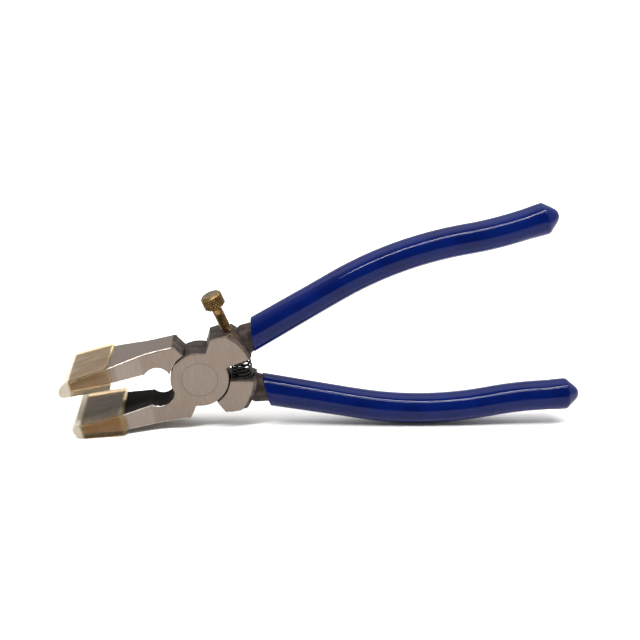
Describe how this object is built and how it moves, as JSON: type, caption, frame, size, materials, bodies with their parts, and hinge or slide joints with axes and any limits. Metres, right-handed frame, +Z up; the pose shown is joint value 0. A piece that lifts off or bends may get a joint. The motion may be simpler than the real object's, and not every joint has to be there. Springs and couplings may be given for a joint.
{
  "type": "glass running pliers",
  "caption": "Running pliers for snapping scored glass: wide capped jaws, round-lap rivet joint, vinyl-dipped handles, return spring and a thumb screw that limits the closing",
  "frame": {"origin": "middle of the overall box in X and Y, on the surface that the open pliers stand on", "axes": "X runs from the jaws (-X) to the handles (+X), Z is up across the opening, and Y is the thickness direction, with the rivet along it"},
  "size_m": [0.2064, 0.0284, 0.0924],
  "materials": {
    "forged_steel": "satin ground faces, dark forging scale in the recesses",
    "rivet_steel": "satin",
    "cap_vinyl": "soft translucent vinyl, yellowed",
    "grip_vinyl": "glossy dipped vinyl",
    "spring_steel": "black oxide",
    "screw_brass": "aged, knurled"
  },
  "bodies": {
    "back_body": {"back_half": "forged_steel", "pivot_rivet": "rivet_steel", "upper_jaw_cap": "cap_vinyl", "lower_grip": "grip_vinyl", "return_spring": "spring_steel"},
    "front_body": {"front_half": "forged_steel", "lower_jaw_cap": "cap_vinyl", "upper_grip": "grip_vinyl"},
    "screw_shank": {"thumb_screw_shank": "screw_brass"},
    "screw_head": {"thumb_screw_head": "screw_brass"}
  },
  "joints": [
    {"name": "jaw_pivot", "type": "hinge", "parent": "back_body", "child": "front_body", "pos_m": [-0.04921, 0, 0.02175], "axis": [0, 1, 0], "range_deg": [-5, 13.7], "stiffness_Nm_per_rad": 1, "springref_deg": -5.73, "deforming": ["return_spring"]},
    {"name": "screw_advance", "type": "slide", "parent": "front_body", "child": "screw_shank", "axis": [0.3943, 0, -0.919], "range_m": [-0.008, 0.0032]},
    {"name": "screw_spin", "type": "hinge", "parent": "screw_shank", "child": "screw_head", "pos_m": [-0.03214, 0, 0.02514], "axis": [0.3943, 0, -0.919], "range_deg": [-3600, 1440]}
  ],
  "couplings": [
    {"joint": "screw_spin", "follows": "screw_advance", "rad_per_m": 7854}
  ]
}
